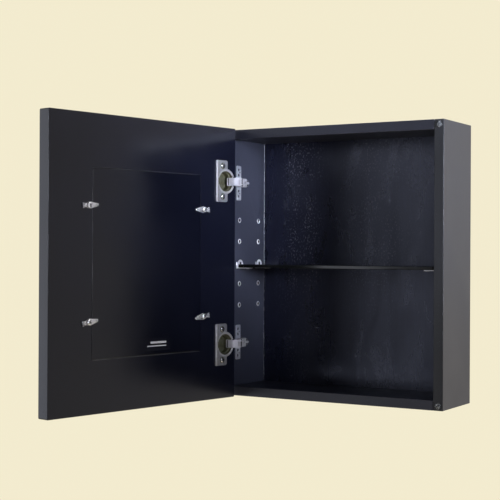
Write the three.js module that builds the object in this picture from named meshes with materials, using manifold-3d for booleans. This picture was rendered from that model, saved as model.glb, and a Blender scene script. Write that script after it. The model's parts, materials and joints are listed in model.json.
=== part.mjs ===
// A wall-hung bathroom cabinet with a mirror door, hinged on the left and standing open.
// Units are millimetres. +X is right, +Y points at the wall and +Z is up. The origin is on the
// rear face of the hanging rail, at its centre, so the wall is the plane y = 0.
import * as THREE from "three";
import { mergeVertices } from "three/addons/utils/BufferGeometryUtils.js";
import Module from "manifold-3d";

const wasm = await Module();
wasm.setup();

// ---------------------------------------------------------------- driving dimensions

const WIDTH = 350; // carcass and door
const HEIGHT = 398;
const DEPTH = 104; // carcass without the door
const BOARD = 14; // carcass boards
const SEAM = 0.1; // air left in a glued or resting joint
const FIT = 0.3; // air left round a piece that can move or be taken out

const BACK_THICKNESS = 4;
const RAIL_THICKNESS = 6;
const RAIL_HEIGHT = 60;
const GROOVE_DEPTH = 5;

const DOOR_THICKNESS = 19;
const DOOR_GAP = 2.5; // between the closed door and the carcass
const degrees = THREE.MathUtils.degToRad;
const DOOR_OPEN = degrees(101.2);
const SWING_INSET = 8.5; // the door turns about a line this far in from the carcass side
const SWING_FORWARD = 19.1; // and this far in front of the carcass

const PICTURE_WIDTH = 204; // rebate in the door's inner face
const PICTURE_HEIGHT = 254;
const REBATE_DEPTH = 9;
const SIGHT_MARGIN = 6.5; // how far the front lip covers the mirror's edge
const MIRROR_THICKNESS = 4;
const BACKING_THICKNESS = 4.4;

const HOLE_PITCH = 32;
const HOLE_ROWS = 5;
const HOLE_COLUMNS = [19, 75]; // from the carcass front
const SLEEVE = { bore: 2.5, barrel: 3.1, flange: 3.9, depth: 9, proud: 0.9 };

const SHELF_THICKNESS = 5;
const SHELF_FRONT = 9; // from the carcass front
const SHELF_BACK = 91;
const SHELF_END_GAP = 3.2; // from the side panels
const SHELF_TOP = -2.5; // below the middle row of holes
const SUPPORT = {
  pin: 2.2, pinLength: 8, plate: 1.2, archRadius: 8, archDrop: 3.5,
  tab: 3, tabWidth: 1.4, tabRise: 3.5, reach: 21, barHalfWidth: 5,
};

const HINGE_RISE = 120; // each hinge from mid height
const CUP_RADIUS = 17.2;
const CUP_WALL = 0.6;
const CUP_DEPTH = 12.9;
const CUP_INSET = 21; // cup centre from the door's edge
const CUP_SCREW_INSET = 28;
const CUP_SCREW_RISE = 22.5;
const CUP_FLANGE = { thickness: 1, radius: 18.4, near: 18, far: 42.5, length: 61, corner: 3 };
const CUP_NOTCH = { halfWidth: 6.8, depth: 12 }; // room for the link in the cup's rim
const PLATE = {
  thickness: 1.6, length: 52, near: 8, far: 20.5, screwRise: 16, screwInset: 14.25,
  blockNear: 3, blockFar: 27, blockTop: 7, blockWidth: 10.4,
};
const ARM = { low: 7.3, high: 12.6, tail: 21, width: 12.8, tongue: 7, tongueWidth: 5 };
const NOSE = [32.75, -10.9]; // link pivot from the carcass side and front
const NOSE_RADIUS = 3;
const NOSE_WIDTH = 6.8;
const LINK_WIDTH = 11.6;
const LINK_THICKNESS = 2.6;
const LINK_PIN = 1.2;
const LINK_COURSE = [[0, 0], [-2.95, -7.2], [-3.75, -9.7], [-15.05, -11.7]];

const BUTTON_RISE = 77; // turn buttons from mid height
const BUTTON_OUTSET = 6; // their screws, outside the rebate
const BUTTON_THICKNESS = 1.2;
const BUTTON_TIP = { x: 15.2, radius: 1.8, hole: 0.9, holeAt: 13.6 };
const BUTTON_TAIL = { x: -10.9, half: 3.6 };
const BUTTON_BOSS = { near: -4.8, nearHalf: 2.4, far: 4.5, farHalf: 3.9, crown: 5.8 };

const PLATE_SCREW = { head: 3.2, headHeight: 1.3, shank: 1.8, length: 10 };
const CUP_SCREW = { head: 3.8, headHeight: 1.8, shank: 1.8, length: 12 };
const BUTTON_SCREW = { head: 3.7, headHeight: 2, shank: 1.5, length: 12 };

const BUMPER = { radius: 4.25, height: 2, inset: 7, wall: 0.4 };

// Derived places.
const FRONT = -DEPTH;
const MIDDLE = RAIL_HEIGHT / 2 + BOARD - HEIGHT / 2; // z of mid height
const WALL = WIDTH / 2 - BOARD; // x of a side panel's inner face
const BACK_REAR = -RAIL_THICKNESS;
const BACK_FRONT = BACK_REAR - BACK_THICKNESS;

// ---------------------------------------------------------------- materials

function finish(color, roughness, metalness) {
  return new THREE.MeshStandardMaterial({ color, roughness, metalness });
}

const satinBlack = finish(0x17171c, 0.45, 0);
const blackVeneer = finish(0x14151b, 0.5, 0);
const bareWood = finish(0x8d7657, 0.8, 0);
const nickel = finish(0xb9b7bd, 0.3, 1);
const smokedGlass = finish(0x0b0d10, 0.08, 0);
const mirrorGlass = finish(0xdfe5e8, 0.03, 1);
const clearRubber = finish(0xc8ccd0, 0.3, 0);

// ---------------------------------------------------------------- shapes and solids

// The manifold-3d solid of a closed three.js geometry.
function solid(geometry) {
  const bare = geometry.clone();
  bare.deleteAttribute("normal");
  bare.deleteAttribute("uv");
  const merged = mergeVertices(bare, 1e-4);
  return new wasm.Manifold(
    new wasm.Mesh({
      numProp: 3,
      vertProperties: new Float32Array(merged.attributes.position.array),
      triVerts: new Uint32Array(merged.index.array),
    }),
  );
}

// The three.js geometry of a manifold-3d solid.
function geometryOf(body) {
  const mesh = body.getMesh();
  const geometry = new THREE.BufferGeometry();
  const points = new THREE.BufferAttribute(new Float32Array(mesh.vertProperties), 3);
  geometry.setAttribute("position", points);
  geometry.setIndex(new THREE.BufferAttribute(new Uint32Array(mesh.triVerts), 1));
  geometry.computeVertexNormals();
  return geometry;
}

// A box between two corners.
function box(low, high) {
  const size = high.map((value, i) => value - low[i]);
  const centre = high.map((value, i) => (value + low[i]) / 2);
  return new THREE.BoxGeometry(...size).translate(...centre);
}

// An outline in the XY plane, pushed up from z = low to z = high.
function prism(shape, low, high, curveSegments = 10) {
  const options = { depth: high - low, bevelEnabled: false, curveSegments };
  return new THREE.ExtrudeGeometry(shape, options).translate(0, 0, low);
}

// A round piece about the Z axis, from a profile of [radius, height] points.
function turned(profile, segments) {
  const points = profile.map(([radius, height]) => new THREE.Vector2(radius, height));
  return new THREE.LatheGeometry(points, segments).rotateX(Math.PI / 2);
}

// A plain round bar about the Z axis, from z = low to z = high.
function bar(radius, low, high, segments = 16) {
  const height = high - low;
  const cylinder = new THREE.CylinderGeometry(radius, radius, height, segments);
  return cylinder.rotateX(Math.PI / 2).translate(0, 0, (low + high) / 2);
}

function polygon(points) {
  return new THREE.Shape(points.map(([x, y]) => new THREE.Vector2(x, y)));
}

// A rectangle with round corners, about the origin.
function roundedRectangle(width, height, radius) {
  const x = width / 2 - radius;
  const y = height / 2 - radius;
  const shape = new THREE.Shape();
  shape.absarc(x, y, radius, 0, Math.PI / 2);
  shape.absarc(-x, y, radius, Math.PI / 2, Math.PI);
  shape.absarc(-x, -y, radius, Math.PI, 1.5 * Math.PI);
  shape.absarc(x, -y, radius, 1.5 * Math.PI, 2 * Math.PI);
  return shape;
}

function addHole(shape, x, y, radius) {
  shape.holes.push(new THREE.Path().absarc(x, y, radius, 0, 2 * Math.PI, true));
}

// The side of a path of width 2 * radius, with a round end at the first point.
function strip(points, radius) {
  const left = [];
  const right = [];
  points.forEach(([x, y], i) => {
    const [x0, y0] = points[Math.max(i - 1, 0)];
    const [x1, y1] = points[Math.min(i + 1, points.length - 1)];
    const length = Math.hypot(x1 - x0, y1 - y0);
    const sideX = (-(y1 - y0) / length) * radius;
    const sideY = ((x1 - x0) / length) * radius;
    left.push([x + sideX, y + sideY]);
    right.push([x - sideX, y - sideY]);
  });
  return polygon([...left, ...right.reverse()]);
}

function add(group, name, geometry, material) {
  const mesh = new THREE.Mesh(geometry, material);
  mesh.name = name;
  group.add(mesh);
  return mesh;
}

// ---------------------------------------------------------------- carcass

const cabinet = new THREE.Group();
const carcass = new THREE.Group();
carcass.position.z = MIDDLE;
cabinet.add(carcass);

// The ring-shaped groove that the back panel sits in, as one block.
function backGroove() {
  const x = WALL + GROOVE_DEPTH;
  const z = HEIGHT / 2 - BOARD + GROOVE_DEPTH;
  return solid(box([-x, BACK_FRONT - FIT, -z], [x, BACK_REAR + FIT, z]));
}

// The blind holes in one side panel, bored from its inner face: shelf sleeves, and on the
// left the screws of the two hinge plates. side is -1 on the left and 1 on the right.
function sidePanelHoles(side) {
  const holes = [];
  for (const column of HOLE_COLUMNS) {
    for (let row = 0; row < HOLE_ROWS; row++) {
      const rise = (row - (HOLE_ROWS - 1) / 2) * HOLE_PITCH;
      holes.push([SLEEVE.barrel + FIT, SLEEVE.depth + FIT, column, rise]);
    }
  }
  if (side < 0) {
    for (const hinge of [-1, 1]) {
      for (const end of [-1, 1]) {
        const rise = hinge * HINGE_RISE + end * PLATE.screwRise;
        holes.push([PLATE_SCREW.shank + FIT, PLATE_SCREW.length, PLATE.screwInset, rise]);
      }
    }
  }
  return holes.map(([radius, depth, inset, rise]) =>
    solid(
      bar(radius, -1, depth, 12)
        .rotateY((side * Math.PI) / 2)
        .translate(side * WALL, FRONT + inset, rise),
    ),
  );
}

function sidePanel(side) {
  const x = [side * WALL, (side * WIDTH) / 2].sort((a, b) => a - b);
  let body = solid(box([x[0], FRONT, -HEIGHT / 2], [x[1], 0, HEIGHT / 2]));
  body = body.subtract(backGroove());
  for (const hole of sidePanelHoles(side)) body = body.subtract(hole);
  return geometryOf(body);
}

function levelPanel(side) {
  const z = [side * (HEIGHT / 2 - BOARD), (side * HEIGHT) / 2].sort((a, b) => a - b);
  const x = WALL - SEAM;
  const body = solid(box([-x, FRONT, z[0]], [x, 0, z[1]]));
  return geometryOf(body.subtract(backGroove()));
}

function backPanel() {
  const x = WALL + GROOVE_DEPTH - FIT;
  const z = HEIGHT / 2 - BOARD + GROOVE_DEPTH - FIT;
  return box([-x, BACK_FRONT, -z], [x, BACK_REAR, z]);
}

// The rail fills the space between the back panel and the wall, under the top panel.
function hangingRail() {
  const x = WALL - FIT;
  const top = HEIGHT / 2 - BOARD;
  return box([-x, BACK_REAR + SEAM, top - RAIL_HEIGHT], [x, 0, top - SEAM]);
}

// ---------------------------------------------------------------- shelf and its supports

function shelfSleeve() {
  const { bore, barrel, flange, depth, proud } = SLEEVE;
  const profile = [
    [bore, -depth],
    [barrel, -depth],
    [barrel, SEAM],
    [flange, SEAM],
    [flange, proud],
    [bore, proud],
    [bore, -depth],
  ];
  return turned(profile, 16);
}

// One shelf support, against a wall whose face is the plane x = 0 with the room on +X:
// a pin for the sleeve, an arched plate beside the glass and a flat bar under it.
function shelfSupport() {
  const { pin, pinLength, plate, archRadius, archDrop, tabWidth, barHalfWidth } = SUPPORT;
  const face = SLEEVE.proud + FIT + plate;
  const underside = SHELF_TOP - SHELF_THICKNESS;
  const low = underside - SEAM - plate;
  const tabFront = -archRadius - SUPPORT.tab;
  const tabTop = SHELF_TOP + SUPPORT.tabRise;
  const shoulder = SHELF_TOP - SUPPORT.tab;
  // Outline in the plane of the wall: x is depth into the cabinet, y is height.
  const outline = new THREE.Shape();
  outline.moveTo(tabFront, low);
  outline.lineTo(archRadius, low);
  outline.absarc(0, -archDrop, archRadius, 0, Math.PI, false);
  outline.lineTo(-archRadius, shoulder);
  outline.lineTo(tabFront + tabWidth, shoulder);
  outline.lineTo(tabFront + tabWidth, tabTop);
  outline.lineTo(tabFront, tabTop);
  // Turn the outline so that its x runs along +Y and its thickness along +X.
  const turn = new THREE.Matrix4().makeBasis(
    new THREE.Vector3(0, 1, 0),
    new THREE.Vector3(0, 0, 1),
    new THREE.Vector3(1, 0, 0),
  );
  const upright = prism(outline, face - plate, face, 8).applyMatrix4(turn);
  const pinBar = bar(pin, -pinLength, face - plate / 2, 12).rotateY(Math.PI / 2);
  const shelfBar = box(
    [face - plate / 2, -barHalfWidth, low],
    [SUPPORT.reach, barHalfWidth, low + plate],
  );
  return geometryOf(solid(upright).add(solid(pinBar)).add(solid(shelfBar)));
}

function glassShelf() {
  const x = WALL - SHELF_END_GAP;
  const low = [-x, FRONT + SHELF_FRONT, SHELF_TOP - SHELF_THICKNESS];
  return box(low, [x, FRONT + SHELF_BACK, SHELF_TOP]);
}

function addShelfFittings() {
  const sleeve = shelfSleeve();
  const support = shelfSupport();
  const mirrored = support.clone().applyMatrix4(new THREE.Matrix4().makeScale(-1, 1, 1));
  mirrored.index.array.reverse();
  for (const [side, sideName] of [[-1, "left"], [1, "right"]]) {
    for (const [column, columnName] of HOLE_COLUMNS.map((c, i) => [c, ["front", "rear"][i]])) {
      for (let row = 1; row <= HOLE_ROWS; row++) {
        const name = `shelf_sleeve_${sideName}_${columnName}_${row}`;
        const mesh = add(carcass, name, sleeve, nickel);
        const rise = (row - (HOLE_ROWS + 1) / 2) * HOLE_PITCH;
        mesh.position.set(side * WALL, FRONT + column, rise);
        mesh.rotation.y = (-side * Math.PI) / 2;
      }
      const shape = side < 0 ? support : mirrored;
      const mesh = add(carcass, `shelf_support_${sideName}_${columnName}`, shape, nickel);
      mesh.position.set(side * WALL, FRONT + column, 0);
    }
  }
}

// ---------------------------------------------------------------- fasteners

// A domed screw along Z: the underside of its head is at z = 0 and its point at -length.
function screw({ head, headHeight, shank, length }) {
  const profile = [
    [0, -length],
    [shank, -length + 2],
    [shank, 0],
    [head, 0],
    [head, headHeight * 0.45],
    [head * 0.72, headHeight * 0.85],
    [0, headHeight],
  ];
  return turned(profile, 14);
}

// ---------------------------------------------------------------- concealed hinges, fixed half

// The plate screwed to the left side panel. x = 0 is the panel's face, y = 0 the carcass front.
function mountingPlate() {
  const { thickness, length, near, far, screwRise, screwInset } = PLATE;
  const width = far - near;
  const outline = roundedRectangle(length, width, 2.5);
  for (const end of [-1, 1]) {
    const offset = screwInset - (near + far) / 2;
    addHole(outline, end * screwRise, offset, PLATE_SCREW.shank + FIT);
  }
  const turn = new THREE.Matrix4().makeBasis(
    new THREE.Vector3(0, 0, 1),
    new THREE.Vector3(0, 1, 0),
    new THREE.Vector3(-1, 0, 0),
  );
  const wings = prism(outline, -thickness - FIT, -FIT, 4).applyMatrix4(turn);
  wings.translate(0, (near + far) / 2, 0);
  const half = PLATE.blockWidth / 2;
  const low = [FIT, PLATE.blockNear, -half];
  const block = box(low, [PLATE.blockTop, PLATE.blockFar, half]);
  return geometryOf(solid(wings).add(solid(block)));
}

// The arm clipped on the plate, seen from above: x = 0 is the panel's face, y = 0 the carcass
// front. A wide tail lies on the plate, and a narrow nose carries the link's pin.
function hingeArm() {
  const [nx, ny] = [NOSE[0] - BOARD, NOSE[1]];
  const { low, high, tail } = ARM;
  const body = polygon([[low, tail], [low, 0.5], [high - 0.5, 0.5], [high, 4], [high, tail]]);
  const nose = new THREE.Shape();
  nose.moveTo(low, 4);
  nose.lineTo(low, 0);
  nose.lineTo(nx - NOSE_RADIUS, ny + 7);
  nose.absarc(nx, ny, NOSE_RADIUS, Math.PI, 2 * Math.PI, false);
  nose.lineTo(nx + NOSE_RADIUS, -1.9);
  nose.lineTo(high, 8);
  const parts = [
    prism(body, -ARM.width / 2, ARM.width / 2),
    prism(nose, -NOSE_WIDTH / 2, NOSE_WIDTH / 2, 8),
    box(
      [low, tail - 1, -ARM.tongueWidth / 2],
      [high - 1.5, tail + ARM.tongue, ARM.tongueWidth / 2],
    ),
    bar(LINK_PIN, -LINK_WIDTH / 2 - 0.5, LINK_WIDTH / 2 + 0.5, 12).translate(nx, ny, 0),
  ];
  return geometryOf(parts.map(solid).reduce((whole, part) => whole.add(part)));
}

// ---------------------------------------------------------------- concealed hinges, link

// The link, about its pivot on the arm's nose, with the door open. Two ears straddle the nose
// and a web bridges from them round the door's edge into the cup.
function hingeLink() {
  const half = LINK_WIDTH / 2;
  const earHalf = NOSE_WIDTH / 2 + 0.4;
  const ear = bar(LINK_THICKNESS, -half, half, 18);
  const web = prism(strip(LINK_COURSE, LINK_THICKNESS / 2), -half, half);
  const room = bar(NOSE_RADIUS + 0.4, -earHalf, earHalf, 20);
  const hole = bar(LINK_PIN + FIT, -half - 1, half + 1, 14);
  const body = solid(ear).add(solid(web)).subtract(solid(room)).subtract(solid(hole));
  return geometryOf(body);
}

function addHinges() {
  const plate = mountingPlate();
  const plateScrew = screw(PLATE_SCREW);
  const arm = hingeArm();
  const link = hingeLink();
  for (const [sign, name] of [[1, "upper"], [-1, "lower"]]) {
    const seat = new THREE.Group();
    seat.position.set(-WALL, FRONT, sign * HINGE_RISE);
    carcass.add(seat);
    add(seat, `hinge_plate_${name}`, plate, nickel);
    add(seat, `hinge_arm_${name}`, arm, nickel);
    const pivot = add(seat, `hinge_link_${name}`, link, nickel);
    pivot.position.set(NOSE[0] - BOARD, NOSE[1], 0);
    for (const [end, endName] of [[1, "top"], [-1, "bottom"]]) {
      const mesh = add(seat, `hinge_plate_screw_${name}_${endName}`, plateScrew, nickel);
      mesh.rotation.y = Math.PI / 2;
      const x = PLATE.thickness + FIT + SEAM;
      mesh.position.set(x, PLATE.screwInset, end * PLATE.screwRise);
    }
  }
}

// ---------------------------------------------------------------- bumpers

function bumper() {
  const { radius, height, wall } = BUMPER;
  const profile = [[0, 0], [radius, 0]];
  const steps = 5;
  for (let i = 1; i <= steps; i++) {
    const angle = ((i / steps) * Math.PI) / 2;
    profile.push([radius * Math.cos(angle), wall + (height - wall) * Math.sin(angle)]);
  }
  profile[profile.length - 1][0] = 0;
  return turned(profile, 20);
}

function addBumpers() {
  for (const [sign, name] of [[1, "upper"], [-1, "lower"]]) {
    const mesh = add(carcass, `bumper_${name}`, bumper(), clearRubber);
    mesh.rotation.x = Math.PI / 2;
    const rise = sign * (HEIGHT / 2 - BUMPER.inset);
    mesh.position.set(WIDTH / 2 - BUMPER.inset, FRONT - SEAM, rise);
  }
}

// ---------------------------------------------------------------- door
// The door's own frame: x runs from its hinged edge to its free edge, y = 0 is its inner face
// with the cabinet on +Y when it is shut, and z = 0 is mid height.

const doorSwing = new THREE.Group();
doorSwing.position.set(-WIDTH / 2 + SWING_INSET, FRONT - SWING_FORWARD, 0);
doorSwing.rotation.z = -DOOR_OPEN;
carcass.add(doorSwing);
const door = new THREE.Group();
door.position.set(-SWING_INSET, SWING_FORWARD - DOOR_GAP, 0);
doorSwing.add(door);

const REBATE_LEFT = (WIDTH - PICTURE_WIDTH) / 2;
const REBATE_RIGHT = REBATE_LEFT + PICTURE_WIDTH;
// Each turn button: its name, its screw, and the way it points, a little off level.
const buttonPlaces = [
  ["hinge_side_upper", REBATE_LEFT - BUTTON_OUTSET, BUTTON_RISE, degrees(1)],
  ["hinge_side_lower", REBATE_LEFT - BUTTON_OUTSET, -BUTTON_RISE, degrees(9)],
  ["free_side_upper", REBATE_RIGHT + BUTTON_OUTSET, BUTTON_RISE, degrees(183)],
  ["free_side_lower", REBATE_RIGHT + BUTTON_OUTSET, -BUTTON_RISE, degrees(188)],
];

// A hole bored straight into the door's inner face.
function doorBore(x, z, radius, depth, segments) {
  return solid(
    bar(radius, -depth, 1, segments)
      .rotateX(-Math.PI / 2)
      .translate(x, 0, z),
  );
}

function doorPanel() {
  const lip = SIGHT_MARGIN;
  const [top, far] = [PICTURE_HEIGHT / 2, WIDTH];
  const sight = [
    [REBATE_LEFT + lip, -DOOR_THICKNESS - 1, lip - top],
    [REBATE_RIGHT - lip, 0, top - lip],
  ];
  const cuts = [
    solid(box([REBATE_LEFT, -REBATE_DEPTH, -top], [REBATE_RIGHT, 1, top])),
    solid(box(...sight)),
  ];
  for (const hinge of [-1, 1]) {
    const z = hinge * HINGE_RISE;
    cuts.push(doorBore(CUP_INSET, z, CUP_RADIUS + 0.4, CUP_DEPTH + 0.4, 40));
    for (const end of [-1, 1]) {
      const rise = z + end * CUP_SCREW_RISE;
      cuts.push(doorBore(CUP_SCREW_INSET, rise, CUP_SCREW.shank + FIT, CUP_SCREW.length, 12));
    }
  }
  for (const [, x, z] of buttonPlaces) {
    cuts.push(doorBore(x, z, BUTTON_SCREW.shank + FIT, BUTTON_SCREW.length, 12));
  }
  const slab = box([0, -DOOR_THICKNESS, -HEIGHT / 2], [far, 0, HEIGHT / 2]);
  return geometryOf(cuts.reduce((body, cut) => body.subtract(cut), solid(slab)));
}

// A sheet in the rebate, with its rear face at the given depth below the inner face.
function rebateSheet(depth, thickness) {
  const z = PICTURE_HEIGHT / 2 - 0.5;
  const low = [REBATE_LEFT + 0.5, -depth - thickness, -z];
  return box(low, [REBATE_RIGHT - 0.5, -depth, z]);
}

// The sheet-metal cup about its own axis, which is Z with the mouth on +Z at the door's face:
// x runs away from the door's hinged edge. A flange with two screw holes lies on the door.
function hingeCup() {
  const top = FIT + CUP_FLANGE.thickness;
  const inner = CUP_RADIUS - CUP_WALL;
  const shell = turned([[0, -CUP_DEPTH], [CUP_RADIUS, -CUP_DEPTH], [CUP_RADIUS, top], [0, top]], 40);
  const ring = bar(CUP_FLANGE.radius, FIT, top, 40);
  const centre = (CUP_FLANGE.near + CUP_FLANGE.far) / 2 - CUP_INSET;
  const width = CUP_FLANGE.far - CUP_FLANGE.near;
  const outline = roundedRectangle(width, CUP_FLANGE.length, CUP_FLANGE.corner);
  for (const end of [-1, 1]) {
    const x = CUP_SCREW_INSET - CUP_INSET - centre;
    addHole(outline, x, end * CUP_SCREW_RISE, CUP_SCREW.shank + FIT);
  }
  const flange = prism(outline, FIT, top, 4).translate(centre, 0, 0);
  const hollow = bar(inner, -CUP_DEPTH + 0.7, top + 1, 40);
  const { halfWidth, depth } = CUP_NOTCH;
  const linkNotch = box([-CUP_INSET, -halfWidth, 0], [depth - CUP_INSET, halfWidth, top + 1]);
  const body = solid(shell).add(solid(ring)).add(solid(flange));
  return geometryOf(body.subtract(solid(hollow)).subtract(solid(linkNotch)));
}

// A turn button lying on z = 0 about its screw, pointing along +X: a swelling round the screw, a
// tapered tip with a small hole in it, a waist and a flared tail.
function turnButton() {
  const [tip, tail] = [BUTTON_TIP, BUTTON_TAIL];
  const { near, nearHalf, far, farHalf, crown } = BUTTON_BOSS;
  const shape = new THREE.Shape();
  shape.moveTo(far, -farHalf);
  shape.lineTo(tip.x, -tip.radius);
  shape.absarc(tip.x, 0, tip.radius, -Math.PI / 2, Math.PI / 2, false);
  shape.lineTo(far, farHalf);
  shape.quadraticCurveTo(0, crown, near, nearHalf);
  shape.lineTo(tail.x, tail.half);
  shape.lineTo(tail.x, -tail.half);
  shape.lineTo(near, -nearHalf);
  shape.quadraticCurveTo(0, -crown, far, -farHalf);
  addHole(shape, 0, 0, BUTTON_SCREW.shank + FIT);
  addHole(shape, tip.holeAt, 0, tip.hole);
  return prism(shape, FIT, FIT + BUTTON_THICKNESS, 6);
}

function addDoor() {
  add(door, "door_panel", doorPanel(), satinBlack);
  const backing = rebateSheet(SEAM, BACKING_THICKNESS);
  add(door, "backing_panel", backing, satinBlack);
  const behindBacking = SEAM + BACKING_THICKNESS + FIT / 2;
  const mirror = rebateSheet(behindBacking, MIRROR_THICKNESS);
  add(door, "mirror", mirror, mirrorGlass);

  const outOfDoor = -Math.PI / 2; // turns a piece's +Z to the door's +Y
  const cup = hingeCup();
  const cupScrew = screw(CUP_SCREW);
  for (const [sign, name] of [[1, "upper"], [-1, "lower"]]) {
    const mesh = add(door, `hinge_cup_${name}`, cup, nickel);
    mesh.rotation.x = outOfDoor;
    mesh.position.set(CUP_INSET, 0, sign * HINGE_RISE);
    for (const [end, endName] of [[1, "top"], [-1, "bottom"]]) {
      const piece = add(door, `hinge_cup_screw_${name}_${endName}`, cupScrew, nickel);
      piece.rotation.x = outOfDoor;
      const lift = FIT + CUP_FLANGE.thickness + SEAM;
      piece.position.set(CUP_SCREW_INSET, lift, sign * HINGE_RISE + end * CUP_SCREW_RISE);
    }
  }

  const button = turnButton();
  const buttonScrew = screw(BUTTON_SCREW);
  for (const [name, x, z, heading] of buttonPlaces) {
    const piece = new THREE.Group();
    piece.position.set(x, 0, z);
    piece.rotation.x = outOfDoor;
    door.add(piece);
    const clip = add(piece, `turn_button_${name}`, button, nickel);
    clip.rotation.z = heading;
    const head = add(piece, `turn_button_screw_${name}`, buttonScrew, nickel);
    head.position.z = 2 * FIT + BUTTON_THICKNESS;
  }
}

// ---------------------------------------------------------------- assembly

add(carcass, "side_panel_left", sidePanel(-1), satinBlack);
add(carcass, "side_panel_right", sidePanel(1), satinBlack);
add(carcass, "top_panel", levelPanel(1), satinBlack);
add(carcass, "bottom_panel", levelPanel(-1), satinBlack);
add(carcass, "back_panel", backPanel(), blackVeneer);
add(carcass, "hanging_rail", hangingRail(), bareWood);
add(carcass, "shelf_glass", glassShelf(), smokedGlass);
addShelfFittings();
addHinges();
addBumpers();
addDoor();

export default cabinet;
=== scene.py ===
"""A black wall-hung medicine cabinet with its mirror door open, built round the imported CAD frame.

Pieces are modelled in millimetres in a local frame of their own, then placed in metres.
"""

import json
import math

import bmesh
import bpy
from mathutils import Matrix, Vector


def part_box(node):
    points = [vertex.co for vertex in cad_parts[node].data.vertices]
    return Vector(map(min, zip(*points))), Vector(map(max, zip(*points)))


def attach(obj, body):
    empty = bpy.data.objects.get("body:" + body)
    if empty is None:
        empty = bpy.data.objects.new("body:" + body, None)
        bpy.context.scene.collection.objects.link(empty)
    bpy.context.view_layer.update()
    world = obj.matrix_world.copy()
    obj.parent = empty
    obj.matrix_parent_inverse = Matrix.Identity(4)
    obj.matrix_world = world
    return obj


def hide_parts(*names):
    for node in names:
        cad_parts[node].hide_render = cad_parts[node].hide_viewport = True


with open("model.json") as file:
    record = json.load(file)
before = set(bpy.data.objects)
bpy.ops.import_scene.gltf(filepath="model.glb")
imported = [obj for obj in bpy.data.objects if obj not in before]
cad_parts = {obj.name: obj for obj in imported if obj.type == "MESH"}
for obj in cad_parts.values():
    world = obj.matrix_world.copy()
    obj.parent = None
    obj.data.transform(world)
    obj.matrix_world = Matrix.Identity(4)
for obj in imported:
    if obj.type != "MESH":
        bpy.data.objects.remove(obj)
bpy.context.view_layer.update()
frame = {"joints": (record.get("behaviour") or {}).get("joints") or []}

MM = 0.001
X, Y, Z, DOWN = (1, 0, 0), (0, 1, 0), (0, 0, 1), (0, 0, -1)  # directions, as for axes()

# -------- sizes, in millimetres

FIT = 0.3  # between pieces that stay apart
SEAM = 0.1  # between pieces that meet

BOARD = 14.0
EDGE_ROUND = 0.7

DOOR_GAP = 2.5  # between the shut door and the carcass
DOOR_THICKNESS = 19.0
REBATE = (204.0, 254.0)
REBATE_DEPTH = 9.0
REBATE_CHAMFER = 0.4
REBATE_CLEARANCE = 0.5
SIGHT_MARGIN = 6.5  # how far the front lip covers the mirror's edge
# The front moulding, from the door's face in to the sight edge: distance out, distance sunk.
MOULDING = [
    (13.0, 0.0), (12.4, 0.1), (12.0, 0.5), (11.8, 1.2), (11.2, 1.6),
    (9.5, 1.7), (7.5, 2.2), (5.5, 3.2), (3.8, 4.6), (2.6, 6.2),
    (2.0, 7.4), (1.6, 7.9), (0.4, 8.0), (0.1, 8.2), (0.0, 8.6),
]
BACKING_THICKNESS = 4.4
MIRROR_THICKNESS = 4.0
MIRROR_BEVEL = 15.0
LABEL = (48.0, 17.0)
LABEL_THICKNESS = 0.15
LABEL_OFFSET = 17.0  # from the door's middle, towards its hinges
LABEL_RISE = -112.5

SHELF_TOP = -2.5  # from the middle of the sleeves that carry it
SHELF_THICKNESS = 5.0
SHELF_ARRIS = 0.6
SHELF_CORNER = 3.0
SLEEVE_ROWS = 5
SHELF_ROW = 3
SLEEVE_BORE = 2.5
SLEEVE_BARREL = 3.1
SLEEVE_FLANGE = 3.9
SLEEVE_DEPTH = 9.0
SLEEVE_PROUD = 0.9
SUPPORT_PLATE = 1.2
SUPPORT_RADIUS = 8.0
SUPPORT_DROP = 3.5
SUPPORT_SHOULDER = 3.0  # below the shelf's top
SUPPORT_TAB = (3.0, 1.4, 3.5)  # reach in front, thickness, rise above the shelf
SUPPORT_FACE = SLEEVE_PROUD + FIT + SUPPORT_PLATE
SUPPORT_LOW = SHELF_TOP - SHELF_THICKNESS - SEAM - SUPPORT_PLATE

HINGE_RISE = 120.0
CUP_RADIUS = 17.2
CUP_INNER = CUP_RADIUS - 2.1
CUP_DEPTH = 12.9
CUP_TOP = FIT + 1.0
CUP_INSET = 21.0
CUP_SCREW_INSET = 28.0
CUP_SCREW_RISE = 22.5
CUP_EARS = (12.25, 30.5)  # half sizes
CUP_EARS_MIDDLE = 9.25
CUP_LIP = (17.4, 21.4, 30.3)  # near side, far side, half height
PLATE = (26.0, 6.25)  # half sizes
PLATE_THICKNESS = 1.6
PLATE_MIDDLE = 14.25
PLATE_SCREW_RISE = 16
ARM_LOW, ARM_HIGH, ARM_TAIL, ARM_TONGUE = 7.3, 12.6, 21.0, 28.0
ARM_WIDTH = 12.8
FORK_DROP = 1.4
NOSE_WIDTH = 6.8
NOSE_RADIUS = 3.0
# Each adjusting screw: its distance behind the carcass front, and below the arm's top.
ADJUSTERS = {"depth": (14, 1.6), "side": (6, 0.1)}
LINK_WIDTH = 11.6
LINK_WALL = 1.3
LINK_COURSE = [(0, 0), (-3.85, -9.7), (-15.05, -11.7)]

BUTTON_THICKNESS = 1.2
BUTTON_TIP = 15.2
BUTTON_TIP_RADIUS = 1.8
BUTTON_TAIL = -10.9
# How far each turn button leans off level, in degrees.
BUTTON_LEANS = {
    "hinge_side_upper": 1,
    "hinge_side_lower": 9,
    "free_side_upper": 3,
    "free_side_lower": 8,
}

BUMPER_RADIUS = 4.25
BUMPER_HEIGHT = 2.0
BUMPER_RIM = 0.4

CAMERA_PLACE = (0.7871, -1.6434, -0.1363)  # in metres
CAMERA_YAW, CAMERA_PITCH, CAMERA_ROLL = 30.810, 0.012, 0.280  # in degrees
CAMERA_LENS = 86.694

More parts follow.
